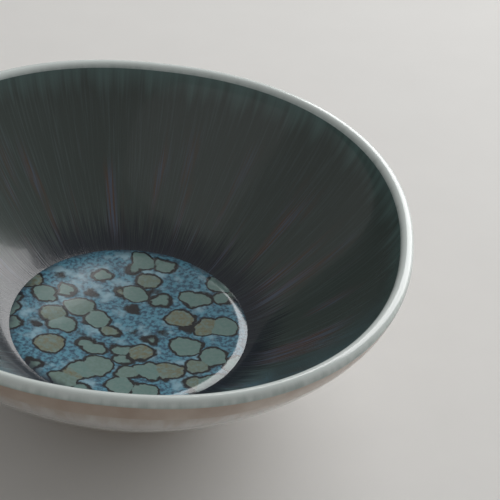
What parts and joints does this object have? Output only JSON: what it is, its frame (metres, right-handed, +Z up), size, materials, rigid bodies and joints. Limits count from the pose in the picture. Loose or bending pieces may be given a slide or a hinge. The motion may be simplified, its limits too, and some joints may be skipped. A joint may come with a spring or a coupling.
{
  "type": "dip bowl",
  "caption": "Small stoneware dip bowl on a turned foot ring, dark liner glaze with a blue glaze pool in the well, pale lip, milky outer glaze.",
  "frame": {"origin": "centre of the foot ring, on the surface that the bowl stands on", "axes": "+Z up along the bowl's turning axis; X and Y run across the flats of the slightly squared rim"},
  "size_m": [0.13, 0.13, 0.046],
  "materials": {
    "stoneware": "matt",
    "liner_glaze": "gloss",
    "pool_glaze": "gloss",
    "lip_glaze": "gloss",
    "iron_glaze": "gloss",
    "outer_glaze": "gloss"
  },
  "bodies": {
    "root": {"stoneware_body": "stoneware", "liner_glaze": "liner_glaze", "glaze_pool": "pool_glaze", "lip_glaze": "lip_glaze", "iron_band": "iron_glaze", "outer_glaze": "outer_glaze", "base_glaze": "outer_glaze"}
  },
  "joints": []
}
